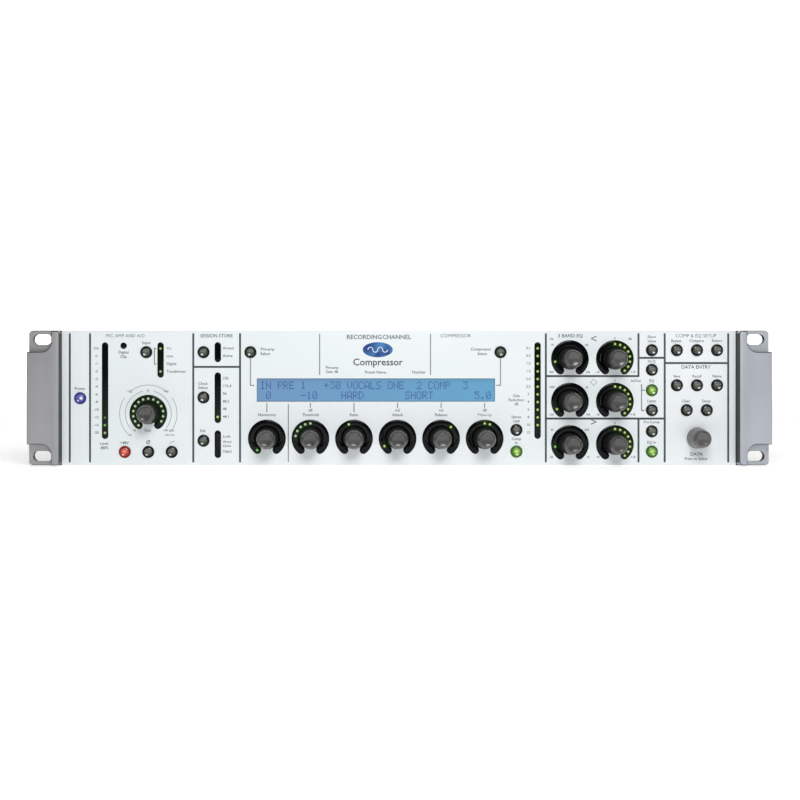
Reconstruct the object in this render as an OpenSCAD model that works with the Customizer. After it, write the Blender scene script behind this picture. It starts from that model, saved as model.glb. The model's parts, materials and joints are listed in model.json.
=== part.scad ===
// Two-unit rack channel processor: a compressor and equaliser behind a white facia with grey rack ears.
// X runs across the panel, Z runs up and +Y runs back into the rack, from the face that the rails touch.

/* [Rack panel] */
// Width over both ears
rack_w = 482.6; // [480:0.1:580]
// Height of the sub panel, two rack units
rack_h = 88.1; // [86:0.1:110]
// Thickness of the steel sub panel
sub_panel_t = 2; // [1.5:0.1:2.5]
// Corner radius of the sub panel
sub_panel_corner = 1.8; // [1:0.1:3]
// From the end of the panel in to a mounting slot's centre
slot_inset_x = 8.75; // [8.5:0.05:10]
// From the edge of the panel in to a mounting slot's centre
slot_inset_z = 5.95; // [5.5:0.05:8]
// Length of a mounting slot, end to end
slot_len = 12; // [9:0.1:13]
// Width of a mounting slot
slot_w = 6.8; // [6:0.1:7.5]

/* [Facia] */
// Thickness of the facia
facia_t = 3; // [2.4:0.1:4]
// Gap all round a part that drops into the facia
seat_gap = 0.05; // [0.02:0.01:0.1]

/* [Ears] */
// Width of one ear
ear_w = 21.3; // [20:0.1:24]
// Height of an ear's body in front of the sub panel
ear_body_t = 9.5; // [7:0.1:12]
// Height of an ear's thin tabs in front of the sub panel
ear_tab_t = 2.5; // [2:0.1:3.5]
// Half of the height that the thick body keeps between the tabs
ear_body_half = 30; // [28:0.5:31]
// Width of the full-height strip beside the facia
ear_strip_w = 5.5; // [4.5:0.1:6]
// Radius of the corner between strip and body
ear_notch_r = 6.5; // [4:0.1:7]
// Radius of the strip's inner corners
ear_strip_corner = 2.5; // [1:0.1:4]
// How far the sub panel stands past the ears at top and bottom
ear_reveal = 0.5; // [0.2:0.1:1]

/* [Case] */
// Depth of the case behind the rails
case_depth = 300; // [240:1:380]
// Thickness of the case's sheet steel
sheet_t = 1.5; // [1.2:0.1:2]
// From the end of the facia in to the side of the case
case_inset = 2; // [1:0.1:4]
// From the edge of the sub panel in to the top and the base of the case
case_drop = 1.55; // [1:0.05:3]
// Width of the front flanges that hold the panel
flange_w = 7; // [6:0.1:8]
// Length of the lips that take the screws of cover and rear panel
lip_len = 12; // [10:0.5:16]
// Gap between sheets that slide together
sheet_gap = 0.2; // [0.1:0.05:0.4]
// Width of a cooling slot
vent_w = 3; // [2:0.1:4]
// Length of a cooling slot
vent_len = 34; // [20:1:40]
// Distance from one cooling slot to the next
vent_pitch = 8; // [6:0.5:12]

/* [Knobs] */
// Radius of a knob's skirt
knob_r = 7; // [6.4:0.1:8.4]
// Radius of a knob's front face
knob_face_r = 4.3; // [3.6:0.1:5]
// Radius of a knob's shoulder, below its rounded top edge
knob_shoulder_r = 6; // [5.2:0.1:6.6]
// Height of a knob's face above the facia
knob_h = 15; // [12:0.1:18]
// Gap between the facia and a knob's skirt
knob_lift = 0.6; // [0.4:0.1:1]
// Radius of an encoder's shaft
shaft_r = 3; // [2.5:0.1:3]
// Radial running clearance of a shaft in its bushing
shaft_fit = 0.05; // [0.02:0.01:0.1]
// Width of an encoder's square body
encoder_w = 10; // [9:0.1:10.4]
// Depth of the dish in a knob's face
knob_dish = 0.8; // [0.3:0.1:1.2]
// Travel of the data knob when it is pushed
push_travel = 0.8; // [0.4:0.1:1]

/* [Light rings and meters] */
// Radial gap between a knob's skirt and its light ring
ring_gap = 0.2; // [0.15:0.05:1]
// Width of a light ring's band
ring_band = 5.1; // [4:0.1:5.2]
// Angle from the top to the end of a light ring
ring_half_angle = 140.5; // [140:0.5:150]
// Height of a lens above the facia
lens_rise = 0.5; // [0.2:0.1:0.8]
// Width of a meter lens
meter_w = 4.1; // [3.4:0.1:4.6]
// Radius of a light-emitting diode
led_r = 1; // [0.7:0.05:1.2]
// Angle between the diodes of a ring
led_step = 20; // [20:1:28]
// Distance between the diodes of a meter
led_pitch = 5; // [4:0.1:5.2]

/* [Push buttons] */
// Radius of a button's collar
collar_r = 3.95; // [3.6:0.05:4.7]
// Width of the collar's flange outside its barrel
collar_flange = 0.75; // [0.5:0.05:0.9]
// Height of the collar above the facia
collar_rise = 0.8; // [0.5:0.1:1.2]
// Radius of a button's cap
cap_r = 2.7; // [2.4:0.05:2.75]
// Gap between a cap and its collar
cap_gap = 0.1; // [0.08:0.01:0.2]
// Height of a cap above its collar
cap_rise = 0.7; // [0.4:0.1:1]
// Depth of the dish in a cap
cap_dish = 0.6; // [0.3:0.05:0.8]
// Travel of a button
button_travel = 1; // [0.5:0.1:1.2]
// Width of a switch body
switch_w = 6; // [5:0.1:6.4]

/* [Display] */
// Width of the display window
window_w = 155; // [150:0.5:160]
// Height of the display window
window_h = 14.8; // [14:0.1:17]
// Width of the display module's board
module_w = 182; // [176:0.5:184]
// Height of the display module's board
module_h = 33.5; // [30:0.5:34]
// Thickness of the display module over its frame
module_t = 6; // [5:0.1:6.5]

/* [Boards] */
// Distance from the rails to the front circuit board
front_board_y = 9; // [8.4:0.1:12]
// Thickness of a circuit board
board_t = 1.6; // [1.2:0.1:2]
// Height of the main board's stand-offs
standoff_h = 6; // [4:0.5:10]
// Length of the main board, front to back
main_board_len = 190; // [150:1:195]
// Width of the main board
main_board_w = 290; // [260:1:300]
// Outer radius of the mains transformer
toroid_r = 42; // [34:0.5:50]
// Height of the mains transformer
toroid_h = 36; // [28:0.5:44]

/* [Hidden] */
$fn = 48;
eps = 0.01;
past = 2;

// Front to back
facia_y = -sub_panel_t - facia_t;
case_back_y = case_depth;

// Across and up
facia_w = rack_w - 2 * ear_w;
ear_h = rack_h - 2 * ear_reveal;
slot_x = rack_w / 2 - slot_inset_x;
slot_z = rack_h / 2 - slot_inset_z;
case_x = facia_w / 2 - case_inset;
case_z = rack_h / 2 - case_drop;
inner_x = case_x - sheet_t;
inner_z = case_z - sheet_t;
flange_x = case_x + flange_w;
ear_screw_x = facia_w / 2 + ear_strip_w / 2 - 0.2;

// Rings, lenses and collars
ring_inner = knob_r + ring_gap;
ring_outer = ring_inner + ring_band;
ring_mid = (ring_inner + ring_outer) / 2;
barrel_r = collar_r - collar_flange;
collar_bore_r = cap_r + cap_gap;
ring_end_relief = 0.05;
carrier_t = 1.2;
panel_hole_gap = 0.45;
window_gap = 0.15;
window_recess = 0.2;
window_back_gap = 0.3;
bushing_r = shaft_r + 0.7;
bushing_drop = 0.8;
encoder_front_y = 2;
shaft_tail = 3.2;
encoder_well = 2.4;
plunger_r = shaft_r - 0.4;
plunger_t = 1;
stem_r = 1.2;
stem_gap = 0.15;
switch_h = 5;
switch_well = 2.2;
retainer_t = 0.9;
retainer_gap = 0.15;

// Fasteners
m3_r = 1.5;
m3_gap = 0.1;
m3_head_r = 2.6;
m3_head_h = 1.5;
standoff_r = 2.75;

// Knobs with a light ring: name, across, up
RING_KNOBS = [
    ["gain_knob", -163.4, -10.3],
    ["harmonics_knob", -86.1, -26.5],
    ["threshold_knob", -57.7, -26.5],
    ["ratio_knob", -29.3, -26.5],
    ["attack_knob", -0.9, -26.5],
    ["release_knob", 27.5, -26.5],
    ["makeup_knob", 55.9, -26.5],
    ["high_frequency_knob", 111.5, 25.3],
    ["high_level_knob", 140.8, 25.3],
    ["mid_frequency_knob", 111.5, -2.4],
    ["mid_level_knob", 140.8, -2.4],
    ["low_frequency_knob", 111.5, -30.1],
    ["low_level_knob", 140.8, -30.1]
];
// The data knob has no ring and can be pushed
DATA_KNOB = ["data_knob", 194.4, -26.1];
KNOBS = concat(RING_KNOBS, [DATA_KNOB]);

// Push buttons: name, across, up
BUTTONS = [
    ["power_button", -207.8, -0.2],
    ["input_button", -164.7, 29.8],
    ["phantom_button", -178.7, -35.2],
    ["phase_button", -163.4, -35.2],
    ["filter_button", -148.1, -35.2],
    ["session_button", -127.4, 29.8],
    ["clock_button", -127.4, 0.3],
    ["external_button", -127.4, -27.9],
    ["preamp_button", -96.8, 29.8],
    ["dynamics_button", 66.2, 29.8],
    ["stereo_link_button", 76.6, -20.9],
    ["dynamics_in_button", 76.6, -35],
    ["show_value_button", 164.9, 31.1],
    ["high_q_button", 164.9, 18.3],
    ["shape_button", 164.9, 5],
    ["order_button", 164.9, -8],
    ["pre_post_button", 164.9, -21.8],
    ["equaliser_in_button", 164.9, -35],
    ["bypass_button", 181.2, 31.1],
    ["compare_button", 194.3, 31.1],
    ["return_button", 207.4, 31.1],
    ["save_button", 181.2, 8.2],
    ["recall_button", 194.3, 8.2],
    ["source_button", 207.4, 8.2],
    ["clear_button", 187.6, -8],
    ["utility_button", 200.7, -8]
];

// Meters: across, height of the top diode, number of diodes
METERS = [
    [-191.6, 32.2, 12],
    [-155.4, 32.2, 4],
    [-118.1, 32.3, 2],
    [-118.1, 12.6, 6],
    [-118.1, -25.2, 3],
    [90.4, 32.3, 12]
];
meter_overrun = 4;
CLIP_LED = [-179.5, 34];
clip_lens_r = 2.1;
WINDOW = [-15, 5.1];

// Pressed stand-offs that carry the front board
FRONT_STANDOFFS = [
    [-207, 32], [-207, -33], [-142.5, 32], [-138, -34], [-106.5, 33], [-105, -35], [-43.5, -36.5],
    [0, 33], [79.5, 33], [89, -36], [154.5, 11.4], [209, -36], [209, 20]
];
// Connectors, seen from the front: across, kind
XLR_X = [-190, -158, -126, -94, -62];
JACK_X = [-30, -8];
BNC_X = [18, 40];
USB_X = 68;
INLET_X = 160;
connector_z = 0;
xlr_flange = [26, 31];
xlr_hole_r = 11.9;
xlr_screw = [9.5, 12];
xlr_pin_ring_r = 4.4;
xlr_shell_r = 9.1;
jack_r = 5.4;
jack_bore_r = 3.25;
bnc_r = 4.8;
usb_size = [12, 10.8];
inlet_size = [27, 19.6];
inlet_flange = [50, 24];
inlet_screw_x = 20;
flange_t = 1.6;
connector_depth = 22;

TRANSFORMER = [150, 130];
MAIN_BOARD_X = -60;
rear_panel_clear = 30;
board_back_y = case_back_y - rear_panel_clear;
board_front_y = board_back_y - main_board_len;
board_z = -inner_z + standoff_h;

// ---- shapes used by several parts ----

// Stands children on the plane y, drawn as seen from the front and rising towards the user
module facing_front(y, x = 0, z = 0) {
    translate([x, y, z]) rotate([90, 0, 0]) children();
}

// Stands children on the plane y, rising towards the back; local X stays across, local Y points down
module facing_back(y, x = 0, z = 0) {
    translate([x, y, z]) rotate([-90, 0, 0]) children();
}

// Round-pasted slot along X
module slot_shape(len, w) {
    square([len - w, w], center = true);
    for (s = [-1, 1]) translate([s * (len - w) / 2, 0]) circle(d = w);
}

// Rectangle with round corners
module round_plate(w, h, r) {
    square([w - 2 * r, h], center = true);
    square([w, h - 2 * r], center = true);
    for (sx = [-1, 1], sz = [-1, 1]) translate([sx * (w / 2 - r), sz * (h / 2 - r)]) circle(r);
}

// Ring band open at the bottom, with round ends that stay a hair inside the band's edges
module ring_shape(inner, outer) {
    mid = (inner + outer) / 2;
    end_r = (outer - inner) / 2 - ring_end_relief;
    far = 2 * outer;
    difference() {
        circle(outer);
        circle(inner);
        polygon([
            [0, 0],
            [far * sin(ring_half_angle), far * cos(ring_half_angle)],
            [-far * sin(ring_half_angle), far * cos(ring_half_angle)]
        ]);
    }
    for (s = [-1, 1])
        translate([s * mid * sin(ring_half_angle), mid * cos(ring_half_angle)]) circle(end_r);
}

// A meter's outline, standing upright over its diodes
module meter_shape(meter, gap = 0) {
    run = (meter[2] - 1) * led_pitch;
    translate([meter[0], meter[1] - run / 2]) rotate(90)
        slot_shape(run + 2 * meter_overrun + 2 * gap, meter_w + 2 * gap);
}

// Every lens outline on the facia, grown by a gap
module lens_shapes(gap = 0) {
    for (k = RING_KNOBS) translate([k[1], k[2]]) ring_shape(ring_inner - gap, ring_outer + gap);
    for (m = METERS) meter_shape(m, gap);
    translate(CLIP_LED) circle(clip_lens_r + gap);
}

module mounting_slots() {
    for (sx = [-1, 1], sz = [-1, 1]) translate([sx * slot_x, sz * slot_z]) slot_shape(slot_len, slot_w);
}

// Screw whose head stands on the plane z = 0 and whose shank runs down
module pan_screw(len) {
    difference() {
        union() {
            cylinder(r = m3_head_r, h = m3_head_h * 0.55);
            translate([0, 0, m3_head_h * 0.55])
                cylinder(r1 = m3_head_r, r2 = m3_head_r * 0.7, h = m3_head_h * 0.45);
            translate([0, 0, -len]) cylinder(r = m3_r, h = len + eps);
        }
        translate([0, 0, m3_head_h * 0.4]) cylinder(r = 1.15, h = m3_head_h, $fn = 6);
    }
}

// ---- front panel ----

module sub_panel() {
    color("dimgray")
    facing_front(0) linear_extrude(sub_panel_t) difference() {
        round_plate(rack_w, rack_h, sub_panel_corner);
        mounting_slots();
        for (k = RING_KNOBS) translate([k[1], k[2]]) circle(ring_outer + panel_hole_gap);
        translate([DATA_KNOB[1], DATA_KNOB[2]]) circle(bushing_r + panel_hole_gap);
        for (b = BUTTONS) translate([b[1], b[2]]) circle(barrel_r + panel_hole_gap);
        for (m = METERS) meter_shape(m, panel_hole_gap);
        translate(CLIP_LED) circle(clip_lens_r + panel_hole_gap);
        translate(WINDOW) square([window_w, window_h], center = true);
        for (s = [-1, 1], z = ear_screw_rows()) translate([s * ear_screw_x, z]) circle(m3_r + m3_gap);
    }
}

function ear_screw_rows() = [-ear_body_half, 0, ear_body_half];

module facia() {
    color("whitesmoke")
    facing_front(-sub_panel_t) linear_extrude(facia_t) difference() {
        square([facia_w, rack_h], center = true);
        lens_shapes(seat_gap);
        for (k = KNOBS) translate([k[1], k[2]]) circle(bushing_r + seat_gap);
        for (b = BUTTONS) translate([b[1], b[2]]) circle(barrel_r + seat_gap);
        translate(WINDOW) square([window_w + 2 * window_gap, window_h + 2 * window_gap], center = true);
    }
}

// Outline of the strip, with its inner corners rounded at top and bottom
module ear_strip_shape() {
    r = ear_strip_corner;
    translate([0, r - ear_h / 2]) square([ear_strip_w, ear_h - 2 * r]);
    translate([r, -ear_h / 2]) square([ear_strip_w - r, ear_h]);
    for (s = [-1, 1]) translate([r, s * (ear_h / 2 - r)]) circle(r);
}

// Right-hand ear: a thick body, thin slotted tabs above and below it, and a full-height inner strip
module ear() {
    ear_x = facia_w / 2;
    facing_front(-sub_panel_t) difference() {
        union() {
            linear_extrude(ear_body_t) union() {
                translate([ear_x, 0]) ear_strip_shape();
                translate([ear_x, -ear_body_half]) square([ear_w, 2 * ear_body_half]);
                for (s = [-1, 1]) difference() {
                    translate([ear_x + ear_strip_w - eps, s * ear_body_half - (s < 0 ? ear_notch_r : eps)])
                        square(ear_notch_r + eps);
                    translate([ear_x + ear_strip_w + ear_notch_r, s * (ear_body_half + ear_notch_r)])
                        circle(ear_notch_r);
                }
            }
            linear_extrude(ear_tab_t) intersection() {
                round_plate(rack_w, ear_h, sub_panel_corner);
                translate([ear_x + ear_strip_corner, -ear_h / 2]) square([ear_w, ear_h]);
            }
        }
        translate([0, 0, -past]) linear_extrude(ear_body_t + 2 * past) mounting_slots();
        for (z = ear_screw_rows())
            translate([ear_screw_x, z, -past]) cylinder(r = m3_r + m3_gap, h = past + ear_body_t - 2);
    }
}

module ear_right() {
    color("darkgray") ear();
}

module ear_left() {
    color("darkgray") mirror([1, 0, 0]) ear();
}

module display_window() {
    color("lightskyblue", 0.6)
    facing_front(-window_back_gap, WINDOW[0], WINDOW[1]) union() {
        linear_extrude(sub_panel_t)
            square([window_w - 2 * window_gap, window_h - 2 * window_gap], center = true);
        translate([0, 0, sub_panel_t - eps]) linear_extrude(facia_t - window_recess)
            square([window_w, window_h], center = true);
    }
}

// Board, raised metal frame and glass of the display
module display_module() {
    frame_w = module_w - 12;
    frame_h = module_h - 7;
    glass_t = 1.1;
    gap = 0.3;
    color("steelblue") {
        facing_front(gap + module_t + board_t, WINDOW[0], WINDOW[1])
            linear_extrude(board_t) square([module_w, module_h], center = true);
        facing_front(gap + module_t, WINDOW[0], WINDOW[1]) difference() {
            linear_extrude(module_t) square([frame_w, frame_h], center = true);
            translate([0, 0, module_t - glass_t - 0.9])
                linear_extrude(glass_t + past) square([window_w, window_h], center = true);
        }
        facing_front(gap + glass_t + 0.9, WINDOW[0], WINDOW[1])
            linear_extrude(glass_t) square([window_w, window_h], center = true);
    }
}

// Smoked lenses: a ring round each ringed knob, one over each meter, and the clip light
module led_lenses() {
    seat = facia_t - 0.3;
    color("black") facing_front(facia_y + seat) linear_extrude(seat + lens_rise) lens_shapes();
}

// Diodes on carriers that stand on the front board, close behind the lenses
module led_arrays() {
    reach = front_board_y + sub_panel_t - 0.4;
    color("darkslategray") facing_front(front_board_y) {
        for (k = RING_KNOBS) translate([k[1], k[2]]) {
            linear_extrude(carrier_t) ring_shape(ring_inner, ring_outer);
            for (a = [-7:7]) translate([ring_mid * sin(a * led_step), ring_mid * cos(a * led_step)])
                cylinder(r = led_r, h = reach);
        }
        for (m = METERS) {
            linear_extrude(carrier_t) meter_shape(m);
            for (i = [0:m[2] - 1]) translate([m[0], m[1] - i * led_pitch]) cylinder(r = led_r, h = reach);
        }
        translate(CLIP_LED) cylinder(r = led_r, h = reach);
    }
}

// ---- knobs, encoders and the pushed plunger ----

// Knob and its steel shaft, which turn together
module knob(k) {
    hub_r = shaft_r + 1.4;
    wall = 1.1;
    hollow = 6;
    bevel = 0.5;
    shoulder_drop = 3.4;
    shaft_top = knob_h - 3;
    lift = k == DATA_KNOB ? knob_lift + push_travel : knob_lift;
    color("gray") facing_front(facia_y, k[1], k[2]) {
        rotate_extrude() polygon([
            [shaft_r, lift + 0.6],
            [hub_r, lift + 0.6],
            [hub_r, hollow],
            [knob_r - wall - 0.4, hollow],
            [knob_r - wall, lift],
            [knob_r, lift],
            [knob_shoulder_r, knob_h - shoulder_drop],
            [(knob_shoulder_r + knob_face_r) / 2 + bevel, knob_h - 2 * bevel],
            [knob_face_r, knob_h],
            [knob_face_r - bevel, knob_h],
            [0, knob_h - knob_dish],
            [0, shaft_top],
            [shaft_r, shaft_top]
        ]);
        translate([0, 0, facia_y - shaft_tail])
            cylinder(r = shaft_r, h = shaft_top - facia_y + shaft_tail);
    }
}

// Body on the front board and a bushing that reaches into the facia, bored for the shaft
module encoders() {
    body_h = front_board_y - encoder_front_y;
    color("slategray") for (k = KNOBS) facing_front(front_board_y, k[1], k[2]) difference() {
        union() {
            linear_extrude(body_h) square(encoder_w, center = true);
            cylinder(r = bushing_r, h = front_board_y - facia_y - bushing_drop);
        }
        translate([0, 0, front_board_y - shaft_tail - encoder_well])
            cylinder(r = shaft_r + shaft_fit, h = front_board_y - facia_y + shaft_tail);
    }
}

// Disc under the data knob's shaft that works its push switch
module data_plunger() {
    color("white") facing_front(shaft_tail + plunger_t + 2 * eps, DATA_KNOB[1], DATA_KNOB[2])
        cylinder(r = plunger_r, h = plunger_t);
}

// ---- push buttons ----

module button_collars() {
    barrel_len = facia_t - 0.2;
    color("black") for (b = BUTTONS) facing_front(facia_y, b[1], b[2]) rotate_extrude() polygon([
        [collar_bore_r, -barrel_len],
        [barrel_r, -barrel_len],
        [barrel_r, 0],
        [collar_r, 0],
        [collar_r, collar_rise * 0.4],
        [collar_r - 0.5, collar_rise],
        [collar_bore_r, collar_rise]
    ]);
}

// Cap with a dished front, a retaining step behind the collar and a stem into its switch
module push_button(b) {
    rim = 0.3;
    dish_edge = cap_r - rim;
    dish_r = (dish_edge * dish_edge + cap_dish * cap_dish) / (2 * cap_dish);
    cap_top = collar_rise + cap_rise;
    step_y = facia_t - 0.2 + retainer_gap;
    stem_len = front_board_y - switch_h - facia_y + switch_well - button_travel - 0.4;
    color("darkolivegreen") facing_front(facia_y, b[1], b[2]) union() {
        difference() {
            union() {
                translate([0, 0, -step_y - eps]) cylinder(r = cap_r, h = step_y + cap_top - rim + eps);
                translate([0, 0, cap_top - rim]) cylinder(r1 = cap_r, r2 = cap_r - rim * 0.7, h = rim);
            }
            translate([0, 0, cap_top - cap_dish + dish_r]) sphere(dish_r);
        }
        translate([0, 0, -step_y - retainer_t]) cylinder(r = barrel_r - 0.1, h = retainer_t);
        translate([0, 0, -stem_len]) cylinder(r = stem_r, h = stem_len);
    }
}

module button_switches() {
    color("dimgray") for (b = BUTTONS) facing_front(front_board_y, b[1], b[2]) difference() {
        linear_extrude(switch_h) square(switch_w, center = true);
        translate([0, 0, switch_h - switch_well]) cylinder(r = stem_r + stem_gap, h = switch_well + past);
    }
}

// ---- circuit boards ----

module front_board() {
    board_w = 2 * inner_x - 6;
    board_h = 2 * inner_z - 3;
    color("darkgreen") facing_front(front_board_y + board_t) linear_extrude(board_t) difference() {
        square([board_w, board_h], center = true);
        for (p = FRONT_STANDOFFS) translate(p) circle(m3_r + m3_gap);
    }
}

// Main board with its capacitors, processors, cooling fins and ribbon header
module main_board() {
    x0 = MAIN_BOARD_X - main_board_w / 2;
    color("seagreen") translate([0, 0, board_z]) {
        difference() {
            translate([x0, board_front_y, 0]) cube([main_board_w, main_board_len, board_t]);
            for (p = main_screws())
                translate([p[0], p[1], -past]) cylinder(r = m3_r + m3_gap, h = board_t + 2 * past);
        }
        translate([0, 0, board_t]) {
            for (i = [0:5]) translate([x0 + 24 + 20 * i, board_front_y + 16, 0]) cylinder(r = 6.3, h = 20);
            for (i = [0:2]) translate([x0 + 30 + 44 * i, board_front_y + 60, 0]) cube([28, 28, 3.4]);
            for (i = [0:3]) translate([x0 + 30 + 30 * i, board_front_y + 120, 0]) cube([20, 10, 11]);
            translate([x0 + 180, board_front_y + 14, 0]) cube([60, 9, 9]);
            translate([x0 + 190, board_front_y + 60, 0]) {
                cube([60, 40, 3]);
                for (i = [0:7]) translate([8 * i, 0, 3 - eps]) cube([1.6, 40, 20]);
            }
        }
    }
}

function main_screws() = [
    for (sx = [-1, 0, 1], y = [board_front_y + 6, board_back_y - 6])
        [MAIN_BOARD_X + sx * (main_board_w / 2 - 6), y]
];

// Toroid between two discs, held by one bolt
module mains_transformer() {
    hole_r = 11;
    edge = 7;
    disc_t = 1.2;
    color("goldenrod") translate([TRANSFORMER[0], TRANSFORMER[1], -inner_z]) {
        cylinder(r = toroid_r - 4, h = disc_t);
        translate([0, 0, disc_t]) rotate_extrude() polygon([
            [hole_r + edge, 0],
            [toroid_r - edge, 0],
            [toroid_r, edge],
            [toroid_r, toroid_h - edge],
            [toroid_r - edge, toroid_h],
            [hole_r + edge, toroid_h],
            [hole_r, toroid_h - edge],
            [hole_r, edge]
        ]);
        translate([0, 0, disc_t + toroid_h]) difference() {
            cylinder(r = hole_r + 14, h = disc_t);
            translate([0, 0, -past]) cylinder(r = 3, h = disc_t + 2 * past);
        }
        translate([0, 0, disc_t]) cylinder(r = 2.9, h = toroid_h + 6);
    }
}

// ---- case ----

// Upright cooling slots in a side wall, and long ones in the cover
module vent_row(count) {
    for (i = [0:count - 1])
        translate([(i - (count - 1) / 2) * vent_pitch, 0]) rotate(90) slot_shape(vent_len, vent_w);
}

function cover_screws_y() = [case_depth * 0.14, case_depth * 0.5, case_depth * 0.86];
function lip_screw_z() = inner_z - lip_len / 2 - sheet_gap;
function rear_screw_y() = case_back_y - sheet_t - lip_len / 2;

// Base, side walls and the front flanges that the panel is screwed to
module chassis() {
    side_vents = 14;
    color("dimgray") difference() {
        union() {
            translate([-case_x, 0, -case_z]) cube([2 * case_x, case_depth, sheet_t]);
            for (s = [-1, 1]) {
                translate([s * (case_x - sheet_t / 2) - sheet_t / 2, 0, -case_z])
                    cube([sheet_t, case_depth, 2 * case_z - sheet_t - sheet_gap]);
                translate([s > 0 ? case_x - eps : -flange_x, 0, -case_z])
                    cube([flange_w + eps, sheet_t, 2 * case_z - sheet_t - sheet_gap]);
            }
        }
        for (s = [-1, 1], z = ear_screw_rows())
            translate([s * ear_screw_x, -past, z]) rotate([-90, 0, 0])
                cylinder(r = m3_r + m3_gap, h = sheet_t + 2 * past);
        // room for the light rings' carriers where they reach down into the base
        for (k = RING_KNOBS) facing_front(front_board_y + sheet_gap, k[1], k[2])
            linear_extrude(carrier_t + 2 * sheet_gap) ring_shape(ring_inner - sheet_gap, ring_outer + sheet_gap);
        for (s = [-1, 1]) translate([s * case_x, 0, 0]) rotate([90, 0, s * 90]) {
            translate([s * case_depth * 0.45, 0, -sheet_t - past])
                linear_extrude(sheet_t + 2 * past) vent_row(side_vents);
            for (y = cover_screws_y())
                translate([s * y, lip_screw_z(), -sheet_t - past])
                    cylinder(r = m3_r + m3_gap, h = sheet_t + 2 * past);
            for (z = rear_screws_z())
                translate([s * rear_screw_y(), z, -sheet_t - past])
                    cylinder(r = m3_r + m3_gap, h = sheet_t + 2 * past);
        }
    }
}

function rear_screws_z() = [-inner_z * 0.55, inner_z * 0.2];

// Lid with cooling slots and two lips inside the side walls
module top_cover() {
    lip_x = inner_x - sheet_gap;
    rear_stop = sheet_t + sheet_gap;
    color("dimgray") difference() {
        union() {
            translate([-case_x, 0, inner_z]) cube([2 * case_x, case_depth, sheet_t]);
            for (s = [-1, 1]) translate([s > 0 ? lip_x - sheet_t : -lip_x, rear_stop, inner_z - lip_len])
                cube([sheet_t, case_depth - 2 * rear_stop - lip_len, lip_len + eps]);
        }
        for (x = [-110, 110], y = [case_depth * 0.32, case_depth * 0.62])
            translate([x, y, inner_z - past]) linear_extrude(sheet_t + 2 * past) vent_row(18);
        for (s = [-1, 1], y = cover_screws_y())
            translate([s * (case_x + past), y, lip_screw_z()]) rotate([0, -s * 90, 0])
                cylinder(r = m3_r + m3_gap, h = 2 * sheet_t + sheet_gap + 2 * past);
    }
}

// Plate with the connector cut-outs and two lips inside the side walls
module rear_panel() {
    plate_x = inner_x - sheet_gap;
    plate_z = inner_z - sheet_gap;
    color("dimgray") difference() {
        union() {
            facing_back(case_back_y - sheet_t) linear_extrude(sheet_t) difference() {
                square([2 * plate_x, 2 * plate_z], center = true);
                connector_holes();
            }
            for (s = [-1, 1])
                translate([s > 0 ? plate_x - sheet_t : -plate_x, case_back_y - sheet_t - lip_len, -plate_z])
                    cube([sheet_t, lip_len + eps, 2 * plate_z - lip_len - sheet_gap]);
        }
        for (s = [-1, 1], z = rear_screws_z())
            translate([s * (case_x + past), rear_screw_y(), z]) rotate([0, -s * 90, 0])
                cylinder(r = m3_r + m3_gap, h = 2 * sheet_t + sheet_gap + 2 * past);
    }
}

// ---- rear connectors ----

// Outlines cut in the rear panel, in a plane whose Y points down
module connector_holes() {
    gap = 0.2;
    for (x = XLR_X) translate([x, -connector_z]) {
        circle(xlr_hole_r + gap);
        for (p = xlr_screw_places()) translate([p[0], -p[1]]) circle(m3_r + m3_gap);
    }
    for (x = JACK_X) translate([x, -connector_z]) circle(jack_r + gap);
    for (x = BNC_X) translate([x, -connector_z]) circle(bnc_r + gap);
    translate([USB_X, -connector_z]) square([usb_size[0] + 2 * gap, usb_size[1] + 2 * gap], center = true);
    translate([INLET_X, -connector_z]) {
        square([inlet_size[0] + 2 * gap, inlet_size[1] + 2 * gap], center = true);
        for (s = [-1, 1]) translate([s * inlet_screw_x, 0]) circle(m3_r + m3_gap);
    }
}

function xlr_screw_places() = [[-xlr_screw[0], xlr_screw[1]], [xlr_screw[0], -xlr_screw[1]]];

module xlr_flange_plate() {
    linear_extrude(flange_t) difference() {
        round_plate(xlr_flange[0], xlr_flange[1], 2);
        for (p = xlr_screw_places()) translate([p[0], -p[1]]) circle(m3_r + m3_gap);
    }
}

// Three-way socket: a ring groove for the plug's shell round a core with three holes
module xlr_socket() {
    groove_depth = 9;
    difference() {
        union() {
            xlr_flange_plate();
            translate([0, 0, -connector_depth])
                cylinder(r = xlr_hole_r, h = connector_depth + flange_t + 1);
        }
        translate([0, 0, flange_t + 1 - groove_depth]) difference() {
            cylinder(r = xlr_shell_r + 0.6, h = groove_depth + past);
            translate([0, 0, -past]) cylinder(r = xlr_shell_r - 1.1, h = groove_depth + 3 * past);
        }
        for (a = [-50, 50, 180])
            translate([xlr_pin_ring_r * sin(a), -xlr_pin_ring_r * cos(a), flange_t + 1 - groove_depth])
                cylinder(r = 1.25, h = groove_depth + past);
    }
}

// Three-way plug in the panel: an open shell with three pins
module xlr_plug() {
    well = 12;
    difference() {
        union() {
            xlr_flange_plate();
            translate([0, 0, -connector_depth])
                cylinder(r = xlr_hole_r, h = connector_depth + flange_t + 1);
        }
        translate([0, 0, flange_t + 1 - well]) cylinder(r = xlr_shell_r, h = well + past);
    }
    for (a = [-50, 50, 180])
        translate([xlr_pin_ring_r * sin(a), -xlr_pin_ring_r * cos(a), flange_t + 1 - well - eps])
            cylinder(r = 1.2, h = well - 2);
}

module jack_socket() {
    difference() {
        union() {
            translate([0, 0, -connector_depth]) cylinder(r = jack_r, h = connector_depth + 3);
            cylinder(r = 7.4, h = 1.8, $fn = 6);
        }
        translate([0, 0, -15]) cylinder(r = jack_bore_r, h = 30);
    }
}

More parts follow.
